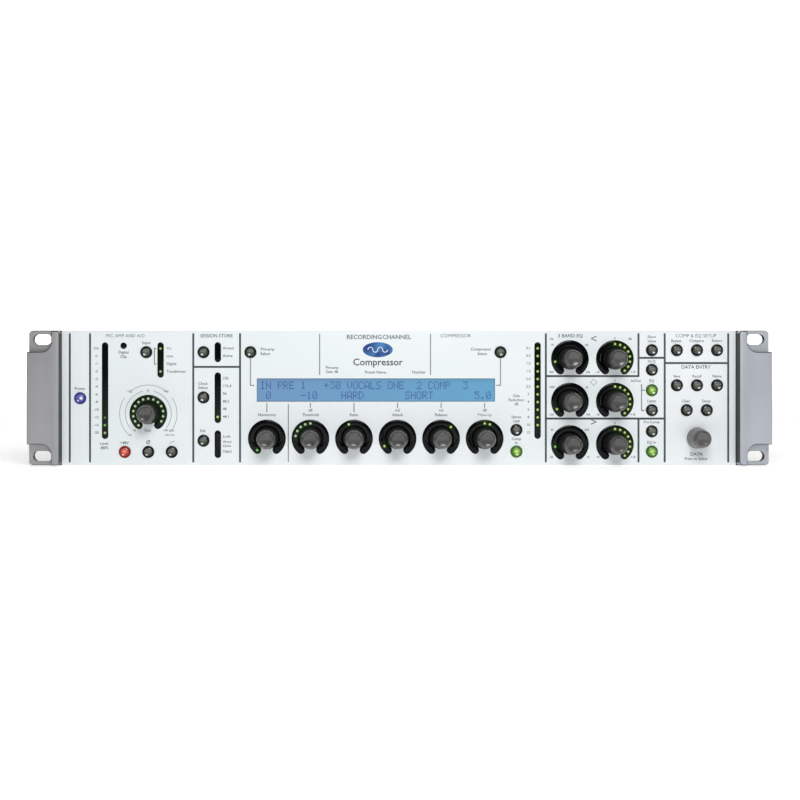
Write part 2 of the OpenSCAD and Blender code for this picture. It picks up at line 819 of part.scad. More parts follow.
module bnc_socket() {
    difference() {
        union() {
            translate([0, 0, -connector_depth * 0.6]) cylinder(r = bnc_r, h = connector_depth * 0.6 + 11);
            cylinder(r = 7, h = 1.8, $fn = 6);
        }
        translate([0, 0, 3]) difference() {
            cylinder(r = bnc_r - 0.8, h = 8 + past);
            translate([0, 0, -past]) cylinder(r = 1.6, h = 6 + past);
        }
    }
}

module usb_socket() {
    difference() {
        translate([-usb_size[0] / 2, -usb_size[1] / 2, -16]) cube([usb_size[0], usb_size[1], 16.6]);
        difference() {
            translate([-4.3, -3.9, -9]) cube([8.6, 7.8, 12]);
            translate([-2.9, -1.7, -10]) cube([5.8, 3.4, 9]);
        }
    }
}

// Mains inlet with its cover plate and three blades
module mains_inlet() {
    well = 15;
    difference() {
        union() {
            linear_extrude(2.4) difference() {
                round_plate(inlet_flange[0], inlet_flange[1], 4);
                for (s = [-1, 1]) translate([s * inlet_screw_x, 0]) circle(m3_r + m3_gap);
            }
            translate([-inlet_size[0] / 2, -inlet_size[1] / 2, -connector_depth])
                cube([inlet_size[0], inlet_size[1], connector_depth + eps]);
        }
        translate([0, 0, 2.4 - well]) linear_extrude(well + past) round_plate(24.2, 16.6, 2.5);
    }
    for (p = [[-7, 2.4], [0, -2.4], [7, 2.4]])
        translate([p[0] - 1, p[1] - 2, 2.4 - well - eps]) cube([2, 4, well - 2.5]);
}

module rear_connectors() {
    color("black") {
        for (i = [0:len(XLR_X) - 1]) facing_back(case_back_y, XLR_X[i], connector_z)
            if (i < 3) xlr_socket(); else xlr_plug();
        for (x = JACK_X) facing_back(case_back_y, x, connector_z) jack_socket();
        for (x = BNC_X) facing_back(case_back_y, x, connector_z) bnc_socket();
        facing_back(case_back_y, USB_X, connector_z) usb_socket();
        facing_back(case_back_y, INLET_X, connector_z) mains_inlet();
    }
}

// ---- fasteners ----

module screws() {
    ear_screw_len = sheet_t + sub_panel_t + ear_body_t - 4;
    side_screw_len = 2 * sheet_t + sheet_gap + 2;
    color("silver") {
        // panel and ears to the case
        for (s = [-1, 1], z = ear_screw_rows())
            facing_back(sheet_t, s * ear_screw_x, z) pan_screw(ear_screw_len);
        // cover and rear panel to the side walls
        for (s = [-1, 1]) {
            for (y = cover_screws_y())
                translate([s * case_x, y, lip_screw_z()]) rotate([0, s * 90, 0]) pan_screw(side_screw_len);
            for (z = rear_screws_z())
                translate([s * case_x, rear_screw_y(), z]) rotate([0, s * 90, 0]) pan_screw(side_screw_len);
        }
        // connectors to the rear panel
        for (x = XLR_X, p = xlr_screw_places())
            facing_back(case_back_y + flange_t, x + p[0], connector_z + p[1])
                pan_screw(flange_t + sheet_t + 3);
        for (s = [-1, 1])
            facing_back(case_back_y + 2.4, INLET_X + s * inlet_screw_x, connector_z)
                pan_screw(2.4 + sheet_t + 3);
        // front board on its stand-offs
        for (p = FRONT_STANDOFFS) {
            facing_back(front_board_y + board_t, p[0], p[1]) pan_screw(board_t + 5);
            facing_back(0, p[0], p[1]) difference() {
                cylinder(r = standoff_r, h = front_board_y, $fn = 6);
                translate([0, 0, front_board_y - 6]) cylinder(r = m3_r + m3_gap, h = 6 + past);
            }
        }
        // main board on stand-offs pressed into the base
        for (p = main_screws()) {
            translate([p[0], p[1], board_z + board_t]) pan_screw(board_t + 2.4);
            translate([p[0], p[1], -inner_z]) difference() {
                cylinder(r = standoff_r, h = standoff_h, $fn = 6);
                translate([0, 0, standoff_h - 4]) cylinder(r = m3_r + m3_gap, h = 4 + past);
            }
        }
    }
}

facia();
sub_panel();
ear_left();
ear_right();
chassis();
top_cover();
rear_panel();
display_window();
display_module();
led_lenses();
led_arrays();
button_collars();
button_switches();
encoders();
front_board();
main_board();
mains_transformer();
rear_connectors();
screws();
data_plunger();
for (k = KNOBS) knob(k);
for (b = BUTTONS) push_button(b);
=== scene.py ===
import json
import math

import bpy
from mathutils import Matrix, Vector

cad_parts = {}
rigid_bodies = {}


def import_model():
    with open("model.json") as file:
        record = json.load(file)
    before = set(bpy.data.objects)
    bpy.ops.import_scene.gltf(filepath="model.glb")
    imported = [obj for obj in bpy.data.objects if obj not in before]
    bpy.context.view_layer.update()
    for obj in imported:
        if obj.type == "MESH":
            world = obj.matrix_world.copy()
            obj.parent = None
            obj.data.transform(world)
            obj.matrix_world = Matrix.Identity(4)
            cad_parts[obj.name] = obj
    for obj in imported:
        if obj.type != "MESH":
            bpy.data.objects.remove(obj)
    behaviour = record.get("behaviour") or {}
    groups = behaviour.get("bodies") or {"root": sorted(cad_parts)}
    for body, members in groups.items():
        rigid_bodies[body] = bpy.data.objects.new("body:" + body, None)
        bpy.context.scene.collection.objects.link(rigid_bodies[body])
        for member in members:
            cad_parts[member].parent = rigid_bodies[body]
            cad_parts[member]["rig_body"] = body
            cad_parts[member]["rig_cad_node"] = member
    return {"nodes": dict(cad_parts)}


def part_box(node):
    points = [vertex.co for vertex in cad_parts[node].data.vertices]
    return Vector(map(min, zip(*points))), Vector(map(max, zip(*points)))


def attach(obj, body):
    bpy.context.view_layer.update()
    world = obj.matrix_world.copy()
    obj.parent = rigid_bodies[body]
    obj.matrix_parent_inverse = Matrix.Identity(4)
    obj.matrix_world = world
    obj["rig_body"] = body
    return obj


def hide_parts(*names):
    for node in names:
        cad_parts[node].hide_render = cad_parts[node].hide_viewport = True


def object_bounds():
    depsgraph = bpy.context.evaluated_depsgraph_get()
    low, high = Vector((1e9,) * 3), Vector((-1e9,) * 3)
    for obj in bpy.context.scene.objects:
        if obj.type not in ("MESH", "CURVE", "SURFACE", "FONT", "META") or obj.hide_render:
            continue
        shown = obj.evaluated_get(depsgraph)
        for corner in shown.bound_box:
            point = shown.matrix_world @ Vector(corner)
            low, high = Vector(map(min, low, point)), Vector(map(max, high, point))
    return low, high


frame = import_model()
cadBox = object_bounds()
nodes = frame["nodes"]
mm = 0.001
for spare in [o for o in bpy.data.objects if o.name in ("Cube", "Light", "Camera")]:
    bpy.data.objects.remove(spare)
print("frame loaded,", len(nodes), "nodes")


def only(*objects):
    # these objects and no others are selected, the last one active
    bpy.ops.object.select_all(action="DESELECT")
    for one in objects:
        one.select_set(True)
    bpy.context.view_layer.objects.active = objects[-1]


def pick(piece, kind, wanted):
    # edit mode with just the wanted faces or edges selected
    only(piece)
    bpy.ops.object.mode_set(mode="EDIT")
    bpy.ops.mesh.select_mode(type=kind)
    bpy.ops.mesh.select_all(action="DESELECT")
    bpy.ops.object.mode_set(mode="OBJECT")
    mesh = piece.data
    if kind == "FACE":
        for face in mesh.polygons:
            face.select = wanted(face.center / mm, face.normal)
    else:
        points = [v.co / mm for v in mesh.vertices]
        for edge in mesh.edges:
            edge.select = wanted(points[edge.vertices[0]], points[edge.vertices[1]])
    bpy.ops.object.mode_set(mode="EDIT")


def bevelled(piece, wanted, width, segments=3):
    pick(piece, "EDGE", wanted)
    bpy.ops.mesh.bevel(offset=width * mm, segments=segments, profile=0.5, affect="EDGES")
    bpy.ops.object.mode_set(mode="OBJECT")


def smoothed(piece, angle=35):
    only(piece)
    bpy.ops.object.shade_smooth_by_angle(angle=math.radians(angle))


def rounded(piece, width, segments=2, angle=40):
    only(piece)
    rounding = piece.modifiers.new("rounding", "BEVEL")
    rounding.width = width * mm
    rounding.segments = segments
    rounding.limit_method = "ANGLE"
    rounding.angle_limit = math.radians(angle)
    bpy.ops.object.modifier_apply(modifier=rounding.name)


def cadCopy(name, node):
    # a loose copy of a node's mesh, merged and freed of needless edges
    twin = nodes[node].copy()
    twin.data = nodes[node].data.copy()
    twin.name = name
    twin.parent = None
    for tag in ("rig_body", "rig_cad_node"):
        del twin[tag]
    bpy.context.scene.collection.objects.link(twin)
    twin.data.materials.clear()
    only(twin)
    bpy.ops.object.mode_set(mode="EDIT")
    bpy.ops.mesh.select_mode(type="VERT")
    bpy.ops.mesh.select_all(action="SELECT")
    bpy.ops.mesh.remove_doubles(threshold=0.002 * mm)
    bpy.ops.mesh.dissolve_limited(angle_limit=math.radians(0.5))
    bpy.ops.object.mode_set(mode="OBJECT")
    return twin


def turned(name, profile, steps=48):
    # a line of (radius, height) points spun about Y; height counts forward from the facia
    bpy.ops.object.select_all(action="DESELECT")
    bpy.ops.mesh.primitive_plane_add(size=mm)
    piece = bpy.context.object
    piece.name = name
    bpy.ops.object.mode_set(mode="EDIT")
    bpy.ops.mesh.select_mode(type="VERT")
    bpy.ops.mesh.select_all(action="SELECT")
    bpy.ops.mesh.merge(type="CENTER")
    bpy.ops.transform.translate(value=(profile[0][0] * mm, -profile[0][1] * mm, 0))
    for (r0, h0), (r1, h1) in zip(profile, profile[1:]):
        onward = ((r1 - r0) * mm, (h0 - h1) * mm, 0)
        bpy.ops.mesh.extrude_vertices_move(TRANSFORM_OT_translate={"value": onward})
    bpy.ops.mesh.select_all(action="SELECT")
    bpy.ops.mesh.spin(steps=steps, angle=2 * math.pi, center=(0, 0, 0), axis=(0, 1, 0))
    bpy.ops.mesh.select_all(action="SELECT")
    bpy.ops.mesh.remove_doubles(threshold=0.002 * mm)
    bpy.ops.mesh.normals_make_consistent(inside=False)
    bpy.ops.object.mode_set(mode="OBJECT")
    return piece


def placed(master, name, x, y, z):
    # a copy with its own mesh, and its place in that mesh
    twin = master.copy()
    twin.data = master.data.copy()
    twin.name = name
    bpy.context.scene.collection.objects.link(twin)
    twin.location = (x * mm, y * mm, z * mm)
    only(twin)
    bpy.ops.object.transform_apply(location=True, rotation=True, scale=True)
    return twin


def joined(name, pieces):
    only(*pieces)
    if len(pieces) > 1:
        bpy.ops.object.join()
    bpy.context.object.name = name
    return bpy.context.object


def drop(*masters):
    for master in masters:
        bpy.data.objects.remove(master)


def tint(r, g, b):
    # display values 0-255 as linear light
    return [c / 255 / 12.92 if c < 11 else ((c / 255 + 0.055) / 1.055) ** 2.4 for c in (r, g, b)] + [1]


# finishes

finishes = {
    "facia lacquer": {"near": tint(236, 241, 243), "far": tint(231, 238, 239), "patch": 9, "grain": 1500,
                      "depth": 0.008, "gloss": (0.34, 0.42),
                      "sockets": {"Coat Weight": 0.15, "Coat Roughness": 0.3}},
    # lit and shaded copies of one ear satin: the right ear's copy is lighter and cooler as painted light, the
    # left ear's darker as painted shade
    "ear satin lit copy": {"near": tint(184, 190, 196), "far": tint(173, 179, 185), "patch": 14, "grain": 2600,
                       "depth": 0.02, "gloss": (0.36, 0.48), "sockets": {"Metallic": 0.35}},
    # painted shade: a dark finish for the ear's bevelled front edges
    "ear edge painted shade": {"near": tint(88, 88, 90), "far": tint(74, 74, 76), "patch": 60, "grain": 2600,
                 "depth": 0.02, "gloss": (0.4, 0.5), "sockets": {"Metallic": 0.35}},
    "ear satin": {"near": tint(172, 172, 174), "far": tint(160, 160, 162), "patch": 14, "grain": 2600,
                  "depth": 0.02, "gloss": (0.36, 0.48), "sockets": {"Metallic": 0.35}},
    "black powder coat": {"near": tint(24, 24, 26), "far": tint(17, 17, 18), "patch": 25, "grain": 1400,
                          "depth": 0.06, "gloss": (0.42, 0.58), "sockets": {}},
    "window acrylic": {"near": tint(60, 84, 108), "far": tint(48, 70, 92), "patch": 20, "grain": 2500,
                       "depth": 0.003, "gloss": (0.12, 0.2), "sockets": {"Coat Weight": 0.3}},
    "smoked lens": {"near": tint(6, 8, 8), "far": tint(3, 4, 4), "patch": 40, "grain": 900, "depth": 0.004,
                    "gloss": (0.05, 0.09), "sockets": {"Specular IOR Level": 0.17}},
    "diode carrier": {"near": tint(196, 200, 190), "far": tint(170, 176, 166), "patch": 90, "grain": 1800,
                      "depth": 0.01, "gloss": (0.4, 0.55), "sockets": {}},
    "collar gloss": {"near": tint(20, 23, 23), "far": tint(12, 14, 14), "patch": 90, "grain": 2500,
                     "depth": 0.006, "gloss": (0.2, 0.28), "sockets": {"Specular IOR Level": 0.22}},
    "switch moulding": {"near": tint(60, 60, 62), "far": tint(48, 48, 50), "patch": 90, "grain": 2000,
                        "depth": 0.015, "gloss": (0.45, 0.6), "sockets": {}},
    "zinc plate": {"near": tint(196, 197, 200), "far": tint(160, 162, 168), "patch": 120, "grain": 3000,
                   "depth": 0.01, "gloss": (0.24, 0.4), "sockets": {"Metallic": 1.0}},
    "board mask": {"near": tint(22, 92, 52), "far": tint(14, 70, 38), "patch": 140, "grain": 1600,
                   "depth": 0.02, "gloss": (0.25, 0.4), "sockets": {"Coat Weight": 0.3}},
    "winding tape": {"near": tint(206, 164, 70), "far": tint(168, 124, 40), "patch": 60, "grain": 700,
                     "depth": 0.08, "gloss": (0.3, 0.45), "sockets": {"Coat Weight": 0.4}},
    "display metal": {"near": tint(112, 114, 118), "far": tint(88, 90, 94), "patch": 60, "grain": 2500,
                      "depth": 0.01, "gloss": (0.35, 0.5), "sockets": {"Metallic": 0.8}},
    "knob moulding": {"near": tint(80, 79, 77), "far": tint(72, 71, 70), "patch": 80, "grain": 2600,
                      "depth": 0.01, "gloss": (0.2, 0.26), "sockets": {"Specular IOR Level": 0.6}},
    # a lighter copy of the knob moulding for the data knob: painted light bounced from the white facia around
    # it
    "data knob lit moulding": {"near": tint(92, 91, 89), "far": tint(84, 83, 82), "patch": 80, "grain": 2600,
                      "depth": 0.01, "gloss": (0.22, 0.28), "sockets": {"Specular IOR Level": 0.6}},
    # painted shade: a near-black finish for the side walls of knobs inside a black light ring
    "knob wall painted shade": {"near": tint(30, 30, 29), "far": tint(22, 22, 21), "patch": 80, "grain": 2600,
                  "depth": 0.012, "gloss": (0.4, 0.5), "sockets": {"Specular IOR Level": 0.2}},
    "shaft steel": {"near": tint(200, 200, 203), "far": tint(170, 170, 175), "patch": 120, "grain": 3200,
                    "depth": 0.01, "gloss": (0.2, 0.35), "sockets": {"Metallic": 1.0}},
    "print slate": {"near": tint(66, 74, 79), "far": tint(56, 64, 69), "patch": 200, "grain": 3000,
                    "depth": 0.004, "gloss": (0.5, 0.6), "sockets": {}},
    "print grey": {"near": tint(132, 138, 141), "far": tint(122, 128, 131), "patch": 200, "grain": 3000,
                   "depth": 0.004, "gloss": (0.5, 0.6), "sockets": {}},
    "print text": {"near": tint(84, 91, 95), "far": tint(74, 81, 85), "patch": 200, "grain": 3000,
                   "depth": 0.004, "gloss": (0.5, 0.6), "sockets": {}},
    "badge enamel": {"near": tint(70, 128, 186), "far": tint(38, 70, 132), "patch": 160, "grain": 1200,
                     "depth": 0.01, "gloss": (0.15, 0.25), "sockets": {"Coat Weight": 0.5}},
    "badge wave": {"near": tint(226, 232, 240), "far": tint(205, 214, 226), "patch": 200, "grain": 1500,
                   "depth": 0.004, "gloss": (0.3, 0.4), "sockets": {}},
    "socket moulding": {"near": tint(34, 34, 36), "far": tint(24, 24, 26), "patch": 90, "grain": 1300,
                        "depth": 0.03, "gloss": (0.35, 0.5), "sockets": {}},
    "socket nickel": {"near": tint(205, 204, 200), "far": tint(172, 171, 168), "patch": 140, "grain": 2400,
                      "depth": 0.01, "gloss": (0.16, 0.3), "sockets": {"Metallic": 1.0}},
}


def noise(tree, place, scale, detail=3):
    grain = tree.nodes.new("ShaderNodeTexNoise")
    grain.inputs["Scale"].default_value = scale
    grain.inputs["Detail"].default_value = detail
    tree.links.new(place.outputs["Object"], grain.inputs["Vector"])
    return grain


def finish(name, look):
    mat = bpy.data.materials.new(name)
    mat.use_nodes = True
    tree = mat.node_tree
    shader = tree.nodes["Principled BSDF"]
    place = tree.nodes.new("ShaderNodeTexCoord")
    patches = noise(tree, place, look["patch"])
    blend = tree.nodes.new("ShaderNodeValToRGB")  # two near tints in slow patches
    blend.color_ramp.elements[0].position, blend.color_ramp.elements[1].position = 0.35, 0.65
    blend.color_ramp.elements[0].color, blend.color_ramp.elements[1].color = look["far"], look["near"]
    tree.links.new(patches.outputs["Fac"], blend.inputs["Fac"])
    tree.links.new(blend.outputs["Color"], shader.inputs["Base Color"])
    polish = tree.nodes.new("ShaderNodeMapRange")
    polish.inputs["To Min"].default_value, polish.inputs["To Max"].default_value = look["gloss"]
    tree.links.new(patches.outputs["Fac"], polish.inputs["Value"])
    tree.links.new(polish.outputs["Result"], shader.inputs["Roughness"])
    if look["grain"]:
        grain = noise(tree, place, look["grain"])
        bump = tree.nodes.new("ShaderNodeBump")
        bump.inputs["Strength"].default_value = 0.5
        bump.inputs["Distance"].default_value = look["depth"] * mm
        tree.links.new(grain.outputs["Fac"], bump.inputs["Height"])
        tree.links.new(bump.outputs["Normal"], shader.inputs["Normal"])
    for socket, value in look["sockets"].items():
        shader.inputs[socket].default_value = value
    return mat


def glowing(mat, strength):
    # the piece's own glow attribute lights it from inside
    tree = mat.node_tree
    glow = tree.nodes.new("ShaderNodeAttribute")
    glow.attribute_name = "glow"
    tree.links.new(glow.outputs["Color"], tree.nodes["Principled BSDF"].inputs["Emission Color"])
    tree.nodes["Principled BSDF"].inputs["Emission Strength"].default_value = strength
    return mat


paints = {name: finish(name, look) for name, look in finishes.items()}
glowing(paints["smoked lens"], 1.0)
glowing(paints["collar gloss"], 1.0)
paints["lamp spot"] = glowing(finish("lamp spot", finishes["smoked lens"]), 1.0)
paints["button cap"] = glowing(finish("button cap", {
    "near": tint(58, 62, 56), "far": tint(42, 46, 42), "patch": 700, "grain": 2500, "depth": 0.006,
    "gloss": (0.1, 0.18),
    "sockets": {"Coat Weight": 0.7, "Coat Roughness": 0.06}}), 1.0)
print("finishes made:", len(paints))


def setGlow(piece, colourAt):
    # a colour per point, read by the glowing finishes
    glow = piece.data.attributes.get("glow") or piece.data.attributes.new("glow", "FLOAT_COLOR", "POINT")
    for point, vertex in zip(glow.data, piece.data.vertices):
        point.color = colourAt(vertex.co / mm)


def dressed(piece, paint, slot, body="root", *stood):
    piece.data.materials.clear()
    piece.data.materials.append(paints[paint])
    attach(piece, body)
    if stood:
        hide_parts(*stood)
    return piece


def centreOf(node):
    low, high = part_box(node)
    return (low.x + high.x) / 2 / mm, (low.z + high.z) / 2 / mm


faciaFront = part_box("facia")[0].y / mm
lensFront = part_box("led_lenses")[0].y / mm


def painted(piece, paint, wanted):
    # gives the wanted faces a second finish
    piece.data.materials.append(paints[paint])
    pick(piece, "FACE", wanted)
    piece.active_material_index = len(piece.data.materials) - 1
    bpy.ops.object.material_slot_assign()
    bpy.ops.object.mode_set(mode="OBJECT")


# facia

facia = {"roll": 0.9}
low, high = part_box("facia")
sideX, topZ = high.x / mm, high.z / mm
panel = cadCopy("facia_panel", "facia")
onFront = lambda a, b: abs(a.y - faciaFront) < 0.01 and abs(b.y - faciaFront) < 0.01
onSide = lambda a, b: abs(abs(a.x) - sideX) < 0.01 and abs(a.x - b.x) < 0.01
onRim = lambda a, b: onSide(a, b) or (abs(abs(a.z) - topZ) < 0.01 and abs(a.z - b.z) < 0.01)
bevelled(panel, lambda a, b: onFront(a, b) and onRim(a, b), facia["roll"], 4)
smoothed(panel, 30)
dressed(panel, "facia lacquer", "facia_white", "root", "facia")
print("facia made")

# rack ears

ear = {"bodyEdge": 1.1, "slotX": 232.55, "slotZ": 38.1, "slotHalfLength": 6.1, "slotHalfWidth": 3.5}


def inSlot(c):
    across = abs(abs(c.x) - ear["slotX"]) < ear["slotHalfLength"]
    return across and abs(abs(c.z) - ear["slotZ"]) < ear["slotHalfWidth"]


for side, node in ((-1, "ear_left"), (1, "ear_right")):
    low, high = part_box(node)
    earFront, inner = low.y / mm, min(abs(low.x), abs(high.x)) / mm
    plate = cadCopy("rack_" + node, node)
    atFront = lambda a, b: abs(a.y - earFront) < 0.01 and abs(b.y - earFront) < 0.01
    bevelled(plate, lambda a, b: atFront(a, b), ear["bodyEdge"], 3)
    smoothed(plate, 35)
    # the left ear takes the darker, shaded copy and the right ear the lighter lit copy: painted shade and
    # painted light
    dressed(plate, "ear satin" if side < 0 else "ear satin lit copy", "ear_grey", "root", node)
    facesIn = lambda c, n: n.x * side < -0.9 and abs(abs(c.x) - inner) < 0.3
    # the inner side walls are black; the walls of the mounting slots get the black as painted shade
    painted(plate, "black powder coat", lambda c, n: facesIn(c, n) or (abs(n.y) < 0.3 and inSlot(c)))
    # the bevelled front edges of each ear get the dark finish as painted shade
    painted(plate, "ear edge painted shade", lambda c, n: 0.1 < abs(n.y) < 0.85 and c.y < earFront + ear["bodyEdge"] + 0.1)
print("ears made")

# light rings, meters and their lamps

lamp = {
    "ring": 9.85, "step": 20, "pitch": 5,
    "white": (0.56, 0.68, 0.46), "green": (0.46, 0.70, 0.20), "deep": (0.24, 0.62, 0.12),
    "yellow": (0.60, 0.72, 0.20),
    "haze": 0.03, "hazeReach": 3.4, "hazeMost": 1.4, "hazeTint": (0.10, 0.34, 0.06),
    "sink": 0.48, "dome": ((0.3, 0.2), (0.5, 0.16), (0.7, 0.1), (0.5, 0.02)),
    "profile": [(0, 0.02), (0.36, 0.02), (0.57, 0.02), (0.78, 0.02), (0.98, 0.0)],
    "levels": [(0.38, 1.0), (0.6, 0.85), (0.8, 0.3), (9, 0.02)],
}
# ring, then (first angle, last angle, colour) for each run of lit lamps
ringsLit = {
    "gain_knob": [(-140, 120, "white")],
    "harmonics_knob": [(-140, -140, "deep")],
    "threshold_knob": [(-80, 0, "white")],
    "ratio_knob": [(-20, -20, "white")],
    "attack_knob": [(-120, -120, "yellow")],
    "release_knob": [(40, 40, "yellow")],
    "makeup_knob": [(0, 20, "yellow")],
    "high_frequency_knob": [(-100, -100, "green")],
    "mid_frequency_knob": [(-120, -120, "green")],
    "low_frequency_knob": [(-100, -100, "deep")],
    "high_level_knob": [(0, 140, "yellow")],
    "mid_level_knob": [(0, 140, "yellow")],
    "low_level_knob": [(0, 140, "yellow")],
}
# meter place, height of its top lamp, then the lit lamps counted down from it
metersLit = [
    (-191.6, 32.2, [(9, "deep", 0.35), (10, "deep", 0.8), (11, "yellow", 0.8)]),
    (-155.4, 32.2, [(0, "yellow", 0.7), (3, "white", 0.8)]),
    (-118.1, 12.6, [(5, "yellow", 1.0)]),
    (90.4, 32.3, [(i, "yellow", 0.95) for i in range(11)]),
]
lit = []
for knob, runs in ringsLit.items():
    cx, cz = centreOf(knob)
    for first, last, colour in runs:
        for angle in range(first, last + 1, lamp["step"]):
            turn = math.radians(angle)
            lit.append((cx + lamp["ring"] * math.sin(turn), cz + lamp["ring"] * math.cos(turn),
                        lamp[colour], 0.95))
for mx, mz, lamps in metersLit:
    for count, colour, power in lamps:
        lit.append((mx, mz - count * lamp["pitch"], lamp[colour], power))

lenses = cadCopy("light_lenses", "led_lenses")
pick(lenses, "FACE", lambda centre, normal: abs(centre.y - lensFront) < 0.01)
bpy.ops.transform.translate(value=(0, lamp["sink"] * mm, 0))
for across, rise in lamp["dome"]:
    bpy.ops.mesh.inset(thickness=across * mm, depth=rise * mm)
bpy.ops.object.mode_set(mode="OBJECT")
smoothed(lenses, 70)
dressed(lenses, "smoked lens", "lens_black", "root", "led_lenses")


def hazeAt(point):
    total = 0.0
    for lx, lz, colour, power in lit:
        away = (point.x - lx) ** 2 + (point.z - lz) ** 2
        if away < 60:
            total += power * math.exp(-away / lamp["hazeReach"] ** 2)
    total = min(total, lamp["hazeMost"]) * lamp["haze"]
    return [total * c for c in lamp["hazeTint"]] + [1]


setGlow(lenses, hazeAt)

spotMaster = turned("spot_master", lamp["profile"], 14)
spots = []
for index, (lx, lz, colour, power) in enumerate(lit):
    spot = placed(spotMaster, "spot_%d" % index, lx, lensFront - 0.01, lz)
    core = [c * power for c in colour]

    def spotAt(point):
        away = math.hypot(point.x - lx, point.z - lz)
        share = next(level for reach, level in lamp["levels"] if away < reach)
        return (core[0] * share, core[1] * share ** 0.8, core[2] * share, 1)

    setGlow(spot, spotAt)
    spots.append(spot)
dressed(joined("lamp_spots", spots), "lamp spot", "lens_black")
drop(spotMaster)
print("light rings and meters made,", len(lit), "lamps lit")

# knobs

knobShape = {"foot": 7.0, "height": 15.0, "wall": 1.1, "hollow": 6.0, "face": 4.05, "dish": 0.8,
             "shaft": 3.0, "tail": 8.2,
             "shoulder": [(6.72, 4.0), (6.3, 8.6), (6.03, 11.2), (5.84, 12.3), (5.46, 13.35), (4.98, 14.2),
                          (4.55, 14.75), (4.25, 14.96)]}


def knobProfile(lift):
    k = knobShape
    profile = [(0, -k["tail"]), (k["shaft"], -k["tail"]), (k["shaft"], lift + 0.6),
               (k["shaft"] + 1.4, lift + 0.6),
               (k["shaft"] + 1.4, k["hollow"]), (k["foot"] - k["wall"] - 0.4, k["hollow"]),
               (k["foot"] - k["wall"], lift),
               (k["foot"], lift)] + k["shoulder"] + [(k["face"], k["height"])]
    for share in (0.93, 0.8, 0.62, 0.42, 0.2):
        profile.append((k["face"] * share, k["height"] - k["dish"] * (1 - share ** 2)))
    return profile + [(0, k["height"] - k["dish"])]


ringMaster = turned("ringed_knob_master", knobProfile(0.6), 56)
dataMaster = turned("data_knob_master", knobProfile(1.4), 56)
for node in [n for n in nodes if n.endswith("_knob")]:
    master = dataMaster if node == "data_knob" else ringMaster
    cx, cz = centreOf(node)
    piece = placed(master, "turning_" + node, cx, faciaFront, cz)
    smoothed(piece, 50)
    # the data knob takes the lighter copy of the moulding as painted light; the ringed knobs take the plain
    # moulding
    dressed(piece, "data knob lit moulding" if node == "data_knob" else "knob moulding", "knob_grey", node, node)
    painted(piece, "shaft steel", lambda c, n: math.hypot(c.x - cx, c.z - cz) < 3.05 and c.y > faciaFront - 2)
    # ringed knobs get their side walls darkened: painted shade beside the black ring
    if node != "data_knob":
        painted(piece, "knob wall painted shade", lambda c, n: abs(n.y) < 0.4 and math.hypot(c.x - cx, c.z - cz) > 5.9)
drop(ringMaster, dataMaster)
print("knobs made")

# push buttons

button = {"cap": 2.7, "top": 1.5, "dish": 0.6, "step": 2.95, "retainer": 3.1, "retainerLength": 0.9,
          "stem": 1.2, "collar": 3.95, "barrel": 3.2, "barrelLength": 2.8, "bore": 2.8, "glowReach": 4.2,
          "diode": 0.3, "middle": 1.35}
capGlow = {
    # the power cap's white centre is partly its lamp and partly a painted highlight, set off to the right
    "power_button": ((1.0, 1.0, 1.0), (0.06, 0.06, 0.34), (0.03, 0.03, 0.24)),
    "phantom_button": ((0.92, 0.24, 0.10), (0.62, 0.045, 0.02), (0.24, 0.012, 0.008)),
    "dynamics_in_button": ((0.60, 0.82, 0.13), (0.24, 0.46, 0.025), (0.05, 0.15, 0.008)),
    "shape_button": ((0.55, 0.78, 0.12), (0.21, 0.42, 0.025), (0.045, 0.14, 0.008)),
    "equaliser_in_button": ((0.55, 0.78, 0.12), (0.21, 0.42, 0.025), (0.045, 0.14, 0.008)),
}
# unlit caps still glow faintly, lighter in the middle and dark at the rim: painted light, as no lamp is on
unlitCapPaintedGlow = ((0.100, 0.112, 0.088), (0.052, 0.059, 0.047), (0.005, 0.006, 0.005))
capSlots = {"power_button": "cap_blue", "phantom_button": "cap_red"}
dishEdge = button["cap"] - 0.3
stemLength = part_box("input_button")[1].y / mm - faciaFront
capProfile = [(0, -stemLength), (button["stem"], -stemLength),
              (button["stem"], -button["step"] - button["retainerLength"]),
              (button["retainer"], -button["step"] - button["retainerLength"]),
              (button["retainer"], -button["step"]), (button["cap"], -button["step"]),
              (button["cap"], button["top"] - 0.3), (button["cap"] - 0.08, button["top"] - 0.1),
              (dishEdge, button["top"])]
for share in (0.88, 0.7, 0.5, 0.3, 0.14, 0.1):
    capProfile.append((dishEdge * share, button["top"] - button["dish"] * (1 - share ** 2)))
capProfile.append((0, button["top"] - button["dish"]))
capMaster = turned("cap_master", capProfile, 36)
collarMaster = turned("collar_master", [
    (button["bore"], -button["barrelLength"]), (button["barrel"], -button["barrelLength"]),
    (button["barrel"], 0), (button["collar"], 0), (button["collar"], 0.3), (button["collar"] - 0.12, 0.55),
    (button["collar"] - 0.4, 0.74), (button["collar"] - 0.65, 0.8), (button["bore"] + 0.15, 0.72),
    (button["bore"], 0.5), (button["bore"], -button["barrelLength"])], 40)
collars = []
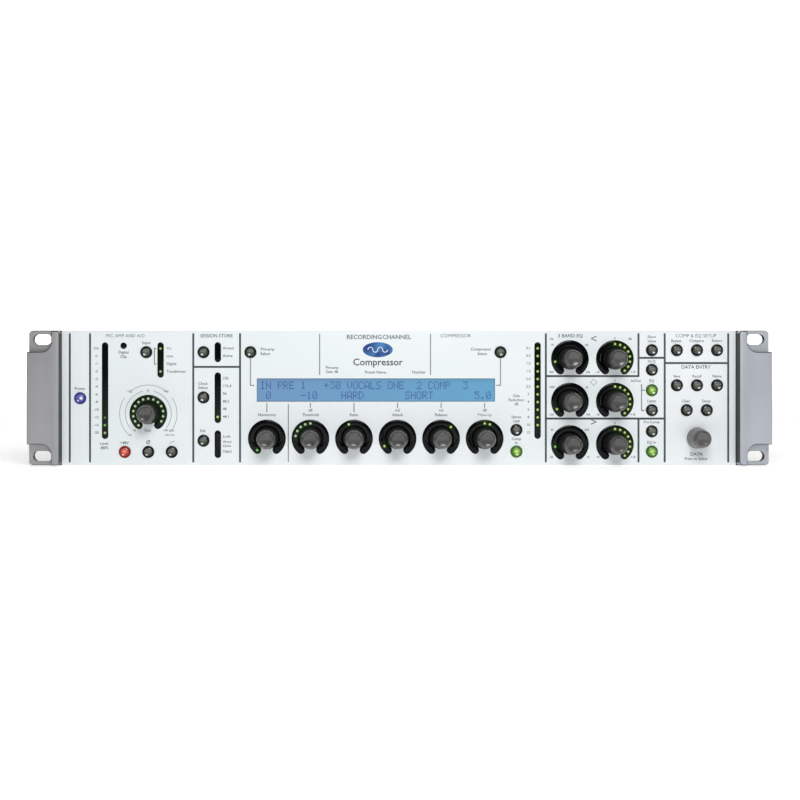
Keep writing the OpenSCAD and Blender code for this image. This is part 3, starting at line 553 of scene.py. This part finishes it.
for node in [n for n in nodes if n.endswith("_button")]:
    cx, cz = centreOf(node)
    cap = placed(capMaster, "cap_" + node, cx, faciaFront, cz)
    smoothed(cap, 40)
    dressed(cap, "button cap", capSlots.get(node, "cap_green" if node in capGlow else "cap_unlit"),
            node, node)
    inner, middle, outer = capGlow.get(node, unlitCapPaintedGlow)
    # the power cap's glow centre is shifted right to hold its painted highlight
    glowCentreX = cx + (0.8 if node == "power_button" else 0)

    def capAt(point):
        away = math.hypot(point.x - glowCentreX, point.z - cz)
        if point.y > faciaFront - 0.4:
            return (0, 0, 0, 1)
        shade = 0.25 if away < button["diode"] and node not in capGlow else 1.0  # an unlit diode
        near, far, share = inner, middle, (away / button["middle"]) ** 1.6
        if away >= button["middle"]:
            near, far, share = middle, outer, min((away - button["middle"]) / 1.2, 1)
        return [(a + (b - a) * share) * shade for a, b in zip(near, far)] + [1]

    setGlow(cap, capAt)
    collars.append(placed(collarMaster, "collar_" + node, cx, faciaFront, cz))
rims = joined("button_rims", collars)
smoothed(rims, 45)
# collars round lit caps get a painted glow in the cap's rim colour, fading outward from the bore: painted
# light from the lamp
litRims = [(centreOf(node), capGlow[node][2]) for node in capGlow]


def rimAt(point):
    for (cx, cz), colour in litRims:
        away = math.hypot(point.x - cx, point.z - cz)
        if away < button["glowReach"] and point.y < faciaFront + 0.1:
            share = 1.1 - 0.5 * (away - button["bore"])
            return [c * share for c in colour] + [1]
    return (0, 0, 0, 1)


setGlow(rims, rimAt)
dressed(rims, "collar gloss", "collar_black", "root", "button_collars")
drop(capMaster, collarMaster)
print("buttons made,", len(collars))

# printed lines

printLift = 0.02
printLines = {
    "slate": 1.3, "grey": 0.7,
    "slateUpright": [(-214.6, 41.6, -41.5), (-201.4, 41.6, -41.5), (-134.1, 41.6, -41.5),
                     (-103.6, 41.6, -41.5), (95.8, 41.6, -41.5), (173.3, 41.6, -41.5), (214.7, 41.6, -41.5),
                     (156.2, 41.6, 14.2), (156.2, -13.5, -41.5)],
    "slateLevel": [(20.2, -134.1, -103.6), (14.2, 95.8, 156.2), (26.1, 156.2, 173.3), (-13.5, 95.8, 173.3),
                   (22.7, 173.3, 214.7)],
    "greyUpright": [(-72.1, -4.3, -41.5), (-51.7, 41.5, 15.3), (20.6, 41.5, 15.3), (-86.1, -3.6, -9),
                    (-57.7, -3.6, -6.2), (-29.3, -3.6, -9), (-0.9, -3.6, -6.2), (27.5, -3.6, -6.2),
                    (55.9, -3.6, -6.2), (-96.8, 25.2, 8.4), (66.2, 25.2, 8.4), (-159.4, 32.2, 22),
                    (158.2, 8.8, -8.2)],
    "greyLevel": [(8.2, -96.8, -94.6), (8.2, 63.9, 66.2), (5, 158.2, 160), (-8.2, 158.2, 160),
                  (32.2, -159.4, -158.4), (22, -159.4, -158.4)],
}


def strip(name, x0, z0, x1, z1, width, lift):
    # a flat bar with round ends, facing front
    long = max(abs(x1 - x0), abs(z1 - z0)) + width
    bpy.ops.object.select_all(action="DESELECT")
    bpy.ops.mesh.primitive_plane_add(size=1)
    bar = bpy.context.object
    bar.name = name
    bpy.ops.object.mode_set(mode="EDIT")
    bpy.ops.mesh.select_all(action="SELECT")
    bpy.ops.transform.resize(value=(long * mm, width * mm, 1))
    bpy.ops.mesh.bevel(offset=width * 0.48 * mm, segments=4, affect="VERTICES")
    bpy.ops.object.mode_set(mode="OBJECT")
    bar.rotation_euler = (math.pi / 2, 0 if abs(x1 - x0) > abs(z1 - z0) else math.pi / 2, 0)
    bar.location = ((x0 + x1) / 2 * mm, (faciaFront - lift) * mm, (z0 + z1) / 2 * mm)
    only(bar)
    bpy.ops.object.transform_apply(location=True, rotation=True, scale=True)
    return bar


def bars(name, uprights, levels, width, paint):
    made = [strip("bar", x, z0, x, z1, width, printLift) for x, z0, z1 in uprights]
    made += [strip("bar", x0, z, x1, z, width, printLift + 0.01) for z, x0, x1 in levels]
    return dressed(joined(name, made), paint, None)


bars("printed_dividers", printLines["slateUpright"], printLines["slateLevel"], printLines["slate"],
     "print slate")
bars("printed_leaders", printLines["greyUpright"], printLines["greyLevel"], printLines["grey"], "print grey")


def arc(x, z, radius, width, first, last, step=5):
    # a short radial edge spun into a band, angles clockwise from the top
    start, sweep = math.radians(first), math.radians(last - first)
    steps = max(2, int((last - first) / step))
    bpy.ops.object.select_all(action="DESELECT")
    bpy.ops.mesh.primitive_plane_add(size=mm)
    band = bpy.context.object
    bpy.ops.object.mode_set(mode="EDIT")
    bpy.ops.mesh.select_mode(type="VERT")
    bpy.ops.mesh.select_all(action="SELECT")
    bpy.ops.mesh.merge(type="CENTER")
    inside, outside = (radius - width / 2) * mm, (radius + width / 2) * mm
    bpy.ops.transform.translate(value=(inside * math.sin(start), 0, inside * math.cos(start)))
    bpy.ops.mesh.extrude_vertices_move(TRANSFORM_OT_translate={
        "value": ((outside - inside) * math.sin(start), 0, (outside - inside) * math.cos(start))})
    bpy.ops.mesh.select_all(action="SELECT")
    bpy.ops.mesh.spin(steps=steps, angle=sweep, center=(0, 0, 0), axis=(0, -1, 0))
    bpy.ops.object.mode_set(mode="OBJECT")
    band.location = (x * mm, (faciaFront - printLift) * mm, z * mm)
    only(band)
    bpy.ops.object.transform_apply(location=True, rotation=True, scale=True)
    return band


# black arcs are laid on the facia in the narrow gap between a knob and its light ring: painted shade
surround = {"radius": 7.05, "width": 0.44, "end": 146}
surrounds = [arc(*centreOf(knob), surround["radius"], surround["width"], -surround["end"],
                 surround["end"]) for knob in ringsLit]
dressed(joined("ring_surrounds", surrounds), "black powder coat", None)

gainX, gainZ = centreOf("gain_knob")
scaleArcs = {"outer": 18.7, "inner": 15.0, "width": 0.32,
             "outerRuns": [(-136, -56), (-38, 38), (56, 130)], "innerRuns": [(-130, -14), (14, 130)],
             "filterMark": (-146.5, -31.5, 3.2, 0.4, -62, 8)}
arcs = [arc(gainX, gainZ, scaleArcs["outer"], scaleArcs["width"], *run) for run in scaleArcs["outerRuns"]]
arcs += [arc(gainX, gainZ, scaleArcs["inner"], scaleArcs["width"], *run) for run in scaleArcs["innerRuns"]]
arcs.append(arc(*scaleArcs["filterMark"]))
dressed(joined("gain_scale", arcs), "print grey", None)
print("printed lines made")

# lettering

# words, middle x, middle z, letter height
legends = [
    ("MIC AMP AND A/D", -178.5, 40.3, 2.2), ("SESSION STORE", -119, 40.3, 2.2),
    ("COMPRESSOR", 37, 40.3, 2.3), ("3 BAND EQ", 111.8, 40.3, 2.3), ("COMP & EQ SETUP", 193.7, 40.3, 2.3),
    ("DATA ENTRY", 193.7, 19.9, 2.3), ("Power", -208, 5.9, 1.9), ("Level", -192.2, -29.9, 1.9),
    ("dBFS", -192.2, -32.8, 1.9), ("Digital", -179.6, 29.6, 1.9), ("Clip", -179.6, 26.7, 1.9),
    ("Input", -164.7, 35.8, 1.9), ("Gain", -163.8, -21.3, 1.7), ("+6", -172.5, -21.3, 1.5),
    ("+6", -175.5, -24.3, 1.5), ("+30 Line", -150.3, -21.3, 1.5), ("+60 Mic", -149.6, -24.3, 1.5),
    ("+20", -175.5, 4.0, 1.5), ("+40", -151.9, 4.0, 1.5), ("0", -163.7, 4.6, 1.6),
    ("+48V", -179, -29.5, 1.9), ("Ø", -163.5, -29.1, 2.6), ("Clock", -127.8, 9.2, 1.9),
    ("Select", -127.8, 6.5, 1.9), ("Ext", -127.8, -21.6, 1.9), ("Pre-amp", -85.6, 31.6, 1.9),
    ("Select", -87.2, 28.6, 1.9), ("Compressor", 53.5, 31.6, 1.9), ("Select", 54.3, 28.6, 1.9),
    ("Pre-amp", -43.5, 19.6, 1.8), ("Gain dB", -43.7, 16.9, 1.8), ("Preset Name", -15.3, 16.6, 1.9),
    ("Number", 13, 16.6, 1.9), ("Harmonics", -86.1, -11.2, 1.9), ("dB", -57.7, -8.2, 1.8),
    ("Threshold", -57.7, -11.2, 1.9), ("Ratio", -29.3, -11.2, 1.9), ("mS", -0.9, -8.2, 1.8),
    ("Attack", -0.9, -11.2, 1.9), ("mS", 27.5, -8.2, 1.8), ("Release", 27.5, -11.2, 1.9),
    ("dB", 55.9, -8.2, 1.8), ("Make-up", 55.9, -11.2, 1.9), ("Gain", 76.6, 1.2, 1.8),
    ("Reduction", 76.6, -1.5, 1.8), ("dB", 76.6, -4.2, 1.8), ("Stereo", 76.6, -12.6, 1.8),
    ("Link", 76.6, -15.2, 1.8), ("Comp", 76.6, -26.9, 1.8), ("In", 76.6, -29.4, 1.8),
    ("Show", 164.8, 39.6, 1.8), ("Value", 164.8, 36.9, 1.8), ("Hi Q", 164.8, 23.7, 1.8),
    ("EQ", 164.8, 11.0, 1.8), ("In/Out", 154.6, 11.0, 1.7), ("Listen", 164.8, -2.2, 1.8),
    ("Pre Comp", 164.8, -15.9, 1.8), ("EQ In", 164.8, -29.1, 1.8), ("Bypass", 180.8, 37.1, 1.8),
    ("Compare", 194.1, 37.1, 1.8), ("Return", 207.4, 37.1, 1.8), ("Save", 181.2, 14.0, 1.8),
    ("Recall", 194.3, 14.0, 1.8), ("Name", 207.4, 14.0, 1.8), ("Clear", 187.1, -2.2, 1.8),
    ("Setup", 200.4, -2.2, 1.8), ("DATA", 194, -36.9, 2.2), ("Press to Select", 193.7, -39.8, 1.8),
    ("Hz", 99.6, 38.3, 1.6), ("dB", 150.6, 38.3, 1.6),
]
# words at the right of a left edge: x, z, height
listed = [
    ("Mic", -151.6, 32.1, 1.8), ("Line", -151.6, 27.1, 1.8), ("Digital", -151.6, 22.1, 1.8),
    ("Transformer", -151.6, 17.1, 1.8), ("Armed", -114.8, 32.3, 1.8), ("Active", -114.8, 27.3, 1.8),
    ("192", -114.8, 12.6, 1.8), ("176.4", -114.8, 7.6, 1.8), ("96", -114.8, 2.6, 1.8),
    ("88.2", -114.8, -2.4, 1.8), ("48", -114.8, -7.4, 1.8), ("44.1", -114.8, -12.4, 1.8),
    ("Lock", -114.8, -25.2, 1.8), ("Word", -114.8, -28.8, 1.6), ("Clock", -114.8, -31.4, 1.6),
    ("Digital", -114.8, -35.0, 1.6),
]
levelMarks = ["O/L", "0", "-1", "-2", "-3", "-4", "-6", "-8", "-10", "-12", "-16", "-20"]
reductionMarks = ["0.1", "0.5", "1.0", "1.5", "2.0", "2.5", "3", "4", "6", "8", "10", "15"]
legends += [(word, -197.3, 32.2 - 5 * i, 1.7) for i, word in enumerate(levelMarks)]
legends += [(word, 84.4, 32.3 - 5 * i, 1.7) for i, word in enumerate(reductionMarks)]
for node, marks in (("high_frequency_knob", ("1k", "6k", "400", "20k")),
                    ("mid_frequency_knob", ("500", "2k", "120", "10k")),
                    ("low_frequency_knob", ("60", "300", "20", "1k"))):
    kx, kz = centreOf(node)
    legends += [(marks[0], kx - 11.6, kz + 9.2, 1.5), (marks[1], kx + 11.0, kz + 9.2, 1.5),
                (marks[2], kx - 12.0, kz - 8.6, 1.5), (marks[3], kx + 11.8, kz - 8.6, 1.5)]
for node in ("high_level_knob", "mid_level_knob", "low_level_knob"):
    kx, kz = centreOf(node)
    legends += [("0", kx, kz + 13.4, 1.4), ("-18", kx - 11.4, kz - 8.6, 1.5),
                ("+18", kx + 11.8, kz - 8.6, 1.5)]


def lettered(name, words, paint):
    made = []
    for word, x, z, height, align in words:
        bpy.ops.object.select_all(action="DESELECT")
        bpy.ops.object.text_add(location=(x * mm, (faciaFront - printLift) * mm, (z - height * 0.36) * mm),
                                rotation=(math.pi / 2, 0, 0))
        text = bpy.context.object
        text.data.body = word
        text.data.size = height * 1.38  # in millimetres, scaled down with the object
        text.scale = (mm, mm, mm)
        text.data.align_x = align
        text.data.resolution_u = 2
        text.data.offset = 0 if "M" in word else height * 0.02  # a thickened M would fold over itself
        made.append(text)
    only(*made)
    bpy.ops.object.convert(target="MESH")
    piece = joined(name, made)
    only(piece)
    bpy.ops.object.transform_apply(location=True, rotation=True, scale=True)
    return dressed(piece, paint, None)


small = [(w, x, z, h, "CENTER") for w, x, z, h in legends] + [(w, x, z, h, "LEFT") for w, x, z, h in listed]
lettered("printed_legends", small, "print text")
lettered("printed_word", [("CHANNEL", -1.4, 39.4, 2.9, "CENTER")], "print text")
lettered("printed_titles", [("RECORDING", -22.6, 39.4, 2.9, "CENTER"),
                            ("Compressor", -13.8, 22.9, 4.6, "CENTER")], "print slate")

# shape marks beside the equaliser knobs
lettered("shape_marks", [("<", 127.0, 38, 5.2, "CENTER"), (">", 127.0, -16.3, 5.2, "CENTER")], "print grey")
dressed(joined("diamond_mark", [arc(127.0, 10.2, 2.1, 0.4, 0, 360, 90)]), "print grey", None)

# badge

badge = {"x": -13.8, "z": 31.4, "wide": 19.7, "high": 9.9, "rim": 0.5, "relief": 0.06, "wave": 0.55,
         "bow": 1.6, "bows": 4}
bpy.ops.object.select_all(action="DESELECT")
bpy.ops.mesh.primitive_circle_add(vertices=48, radius=0.5, fill_type="NGON")
oval = bpy.context.object
bpy.ops.object.mode_set(mode="EDIT")
bpy.ops.mesh.select_all(action="SELECT")
bpy.ops.transform.resize(value=(badge["wide"] * mm, badge["high"] * mm, 1))
bpy.ops.mesh.inset(thickness=badge["rim"] * mm, depth=badge["relief"] * mm)
bpy.ops.object.mode_set(mode="OBJECT")
oval.name = "plain_badge"
oval.rotation_euler = (math.pi / 2, 0, 0)
oval.location = (badge["x"] * mm, (faciaFront - printLift) * mm, badge["z"] * mm)
only(oval)
bpy.ops.object.transform_apply(location=True, rotation=True, scale=True)
dressed(oval, "badge enamel", None)
wave = []
for step in range(badge["bows"]):
    bowX = badge["x"] + badge["bow"] * (2 * step - badge["bows"] + 1)
    first = 90 if step % 2 else -90
    bow = arc(bowX, badge["z"], badge["bow"], badge["wave"], first, first + 180)
    only(bow)
    bpy.ops.transform.translate(value=(0, -0.1 * mm, 0))
    bpy.ops.object.transform_apply(location=True, rotation=True, scale=True)
    wave.append(bow)
dressed(joined("badge_wave", wave), "badge wave", None)
print("lettering and badge made")

# display

display = {"left": -92.6, "right": 62.6, "low": -2.4, "high": 12.6, "firstColumn": -90.7, "pitch": 3.775,
           "rows": (8.2, 1.7), "dotWide": 0.56, "dotHigh": 0.62, "stepX": 0.64, "stepZ": 0.72,
           "leftTint": tint(108, 150, 193), "rightTint": tint(94, 163, 202), "ink": tint(48, 74, 152)}
glyphs = {
    "I": (14, 4, 4, 4, 4, 4, 14), "N": (17, 17, 25, 21, 19, 17, 17), "P": (30, 17, 17, 30, 16, 16, 16),
    "R": (30, 17, 17, 30, 20, 18, 17), "E": (31, 16, 16, 30, 16, 16, 31), "1": (4, 12, 4, 4, 4, 4, 14),
    "+": (0, 4, 4, 31, 4, 4, 0), "3": (31, 2, 4, 2, 1, 17, 14), "0": (14, 17, 19, 21, 25, 17, 14),
    "V": (17, 17, 17, 17, 17, 10, 4), "O": (14, 17, 17, 17, 17, 17, 14), "C": (14, 17, 16, 16, 16, 17, 14),
    "A": (14, 17, 17, 17, 31, 17, 17), "L": (16, 16, 16, 16, 16, 16, 31), "S": (15, 16, 16, 14, 1, 1, 30),
    "2": (14, 17, 1, 2, 4, 8, 31), "M": (17, 27, 21, 21, 17, 17, 17), "-": (0, 0, 0, 31, 0, 0, 0),
    "H": (17, 17, 17, 31, 17, 17, 17), "D": (28, 18, 17, 17, 17, 18, 28), "T": (31, 4, 4, 4, 4, 4, 4),
    "5": (31, 16, 30, 1, 1, 17, 14), ".": (0, 0, 0, 0, 0, 12, 12),
}
readout = [(0, 0, "IN PRE 1"), (0, 11, "+30"), (0, 15, "VOCALS ONE"), (0, 27, "2"), (0, 29, "COMP  3"),
           (1, 1, "0"), (1, 7, "-10"), (1, 14, "HARD"), (1, 25, "SHORT"), (1, 37, "5.0")]
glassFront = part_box("display_window")[0].y / mm - 0.03

bpy.ops.object.select_all(action="DESELECT")
bpy.ops.mesh.primitive_plane_add(size=1)
backlight = bpy.context.object
backlight.name = "display_backlight"
bpy.ops.object.mode_set(mode="EDIT")
bpy.ops.mesh.select_all(action="SELECT")
bpy.ops.transform.resize(value=((display["right"] - display["left"] - 0.6) * mm,
                                (display["high"] - display["low"] - 0.6) * mm, 1))
bpy.ops.mesh.subdivide(number_cuts=11)
bpy.ops.object.mode_set(mode="OBJECT")
backlight.rotation_euler = (math.pi / 2, 0, 0)
backlight.location = ((display["left"] + display["right"]) / 2 * mm, glassFront * mm,
                      (display["low"] + display["high"]) / 2 * mm)
only(backlight)
bpy.ops.object.transform_apply(location=True, rotation=True, scale=True)
paints["display glow"] = glowing(finish("display glow", {
    "near": tint(20, 30, 40), "far": tint(16, 24, 32), "patch": 60, "grain": 2500, "depth": 0.004,
    "gloss": (0.3, 0.4), "sockets": {}}), 0.93)


def backlightAt(point):
    share = (point.x - display["left"]) / (display["right"] - display["left"])
    below = (display["high"] - point.z) / (display["high"] - display["low"])
    shade = 0.86 + 0.14 * min(1, below * 5)
    return [(a + (b - a) * share) * shade for a, b in zip(display["leftTint"][:3],
                                                          display["rightTint"][:3])] + [1]


setGlow(backlight, backlightAt)
dressed(backlight, "display glow", "display_blue")

paints["display ink"] = glowing(finish("display ink", {
    "near": tint(20, 26, 40), "far": tint(16, 20, 32), "patch": 60, "grain": 2500, "depth": 0.004,
    "gloss": (0.3, 0.4), "sockets": {}}), 0.93)
bpy.ops.object.select_all(action="DESELECT")
bpy.ops.mesh.primitive_plane_add(size=1)
dotMaster = bpy.context.object
bpy.ops.object.mode_set(mode="EDIT")
bpy.ops.mesh.select_all(action="SELECT")
bpy.ops.transform.resize(value=(display["dotWide"] * mm, display["dotHigh"] * mm, 1))
bpy.ops.object.mode_set(mode="OBJECT")
dotMaster.rotation_euler = (math.pi / 2, 0, 0)
only(dotMaster)
bpy.ops.object.transform_apply(location=False, rotation=True, scale=True)
letterMasters = {}
for letter, rows in glyphs.items():
    dots = []
    for down, bits in enumerate(rows):
        for across in range(5):
            if bits >> (4 - across) & 1:
                dots.append(placed(dotMaster, "dot", (across - 2) * display["stepX"], 0,
                                   (3 - down) * display["stepZ"]))
    letterMasters[letter] = joined("letter_" + str(ord(letter)), dots)
cells = []
for row, column, words in readout:
    for offset, letter in enumerate(words):
        if letter != " ":
            x = display["firstColumn"] + (column + offset + 0.5) * display["pitch"]
            cells.append(placed(letterMasters[letter], "cell", x, glassFront - 0.03, display["rows"][row]))
inked = joined("display_dots", cells)
setGlow(inked, lambda point: display["ink"])
dressed(inked, "display ink", "display_blue")
drop(dotMaster, *letterMasters.values())
print("display made,", len(cells), "characters")

# rear connectors

rear = {"pinReach": 1.5, "pinRing": 4.4, "pinAngles": (-50, 50, 180), "plugs": (-94, -62), "nickelFrom": 10,
        "nickelTo": 76}
sockets = cadCopy("rear_sockets", "rear_connectors")
rounded(sockets, 0.25, 2, 50)
smoothed(sockets, 40)
dressed(sockets, "socket moulding", "connector_black", "root", "rear_connectors")


def isMetal(centre, normal):
    if rear["nickelFrom"] < centre.x < rear["nickelTo"]:
        return True
    for plugX in rear["plugs"]:
        for angle in rear["pinAngles"]:
            px = plugX + rear["pinRing"] * math.sin(math.radians(angle))
            pz = -rear["pinRing"] * math.cos(math.radians(angle))
            if math.hypot(centre.x - px, centre.z - pz) < rear["pinReach"] and abs(normal.y) < 0.9:
                return True
    return False


painted(sockets, "socket nickel", isMetal)
print("rear connectors made")

# nodes that keep their own shape

kept = {
    "sub_panel": "black powder coat", "chassis": "black powder coat", "top_cover": "black powder coat",
    "rear_panel": "black powder coat",
    "display_window": "window acrylic", "display_module": "display metal", "led_arrays": "diode carrier",
    "button_switches": "switch moulding",
    "encoders": "zinc plate", "front_board": "board mask", "main_board": "board mask",
    "mains_transformer": "winding tape",
    "screws": "zinc plate", "data_plunger": "switch moulding",
}
for node, paint in kept.items():
    slots = nodes[node].material_slots
    if not slots:
        nodes[node].data.materials.append(paints[paint])
    for entry in slots:
        entry.material = paints[paint]
print("other nodes painted")

# floor, light and camera

studio = {"floor": 6.0, "key": 4.6, "keySize": 0.3, "keyAt": (0.07, -0.72, 0.52), "fill": 0.14,
          "floorGlow": 0.5, "backGlow": 1.1,
          "camera": (-0.038, -0.816, 0.026), "lens": 55.97, "shift": (0.0742, -0.0525)}
floorZ = cadBox[0].z
bpy.ops.object.select_all(action="DESELECT")
bpy.ops.mesh.primitive_plane_add(size=studio["floor"], location=(0, 0, floorZ - 0.0002))
ground = bpy.context.object
ground.name = "floor"
bpy.ops.object.mode_set(mode="EDIT")
bpy.ops.mesh.select_all(action="SELECT")
bpy.ops.mesh.subdivide(number_cuts=3)
bpy.ops.object.mode_set(mode="OBJECT")
for stageName in ("floor", "back"):
    paints[stageName] = finish(stageName, {
        "near": (0.93, 0.93, 0.93, 1), "far": (0.91, 0.91, 0.91, 1), "patch": 2, "grain": 300, "depth": 0.02,
        "gloss": (0.7, 0.8),
        "sockets": {"Emission Color": (1, 1, 1, 1), "Emission Strength": studio[stageName + "Glow"]}})
ground.data.materials.append(paints["floor"])

bpy.ops.mesh.primitive_plane_add(size=studio["floor"], location=(0, 2.6, 0), rotation=(math.pi / 2, 0, 0))
backdrop = bpy.context.object
backdrop.name = "backdrop"
backdrop.data.materials.append(paints["back"])

world = bpy.data.worlds.new("soft room")
bpy.context.scene.world = world
world.use_nodes = True
room = world.node_tree.nodes["Background"]
room.inputs["Color"].default_value = (1, 1, 1, 1)
# dim as a light, white where the camera sees past the backdrop
sight = world.node_tree.nodes.new("ShaderNodeLightPath")
bright = world.node_tree.nodes.new("ShaderNodeMapRange")
bright.inputs["To Min"].default_value, bright.inputs["To Max"].default_value = studio["fill"], 1.0
world.node_tree.links.new(sight.outputs["Is Camera Ray"], bright.inputs["Value"])
world.node_tree.links.new(bright.outputs["Result"], room.inputs["Strength"])

bpy.ops.object.light_add(type="AREA", location=studio["keyAt"])
key = bpy.context.object
key.name = "softbox"
key.data.shape = "RECTANGLE"
key.data.size = studio["keySize"] * 1.5
key.data.size_y = studio["keySize"]
key.data.energy = studio["key"]
key.rotation_mode = "QUATERNION"
key.rotation_quaternion = Vector(studio["keyAt"]).to_track_quat("Z", "Y")

bpy.ops.object.camera_add(location=studio["camera"], rotation=(math.pi / 2, 0, 0))
camera = bpy.context.object
camera.data.lens = studio["lens"]
camera.data.sensor_width = 36
camera.data.sensor_fit = "HORIZONTAL"
camera.data.shift_x, camera.data.shift_y = studio["shift"]
camera.data.clip_start, camera.data.clip_end = 0.01, 50
bpy.context.scene.camera = camera
bpy.context.scene.view_settings.view_transform = "Standard"
bpy.context.scene.view_settings.look = "None"
print("studio set")
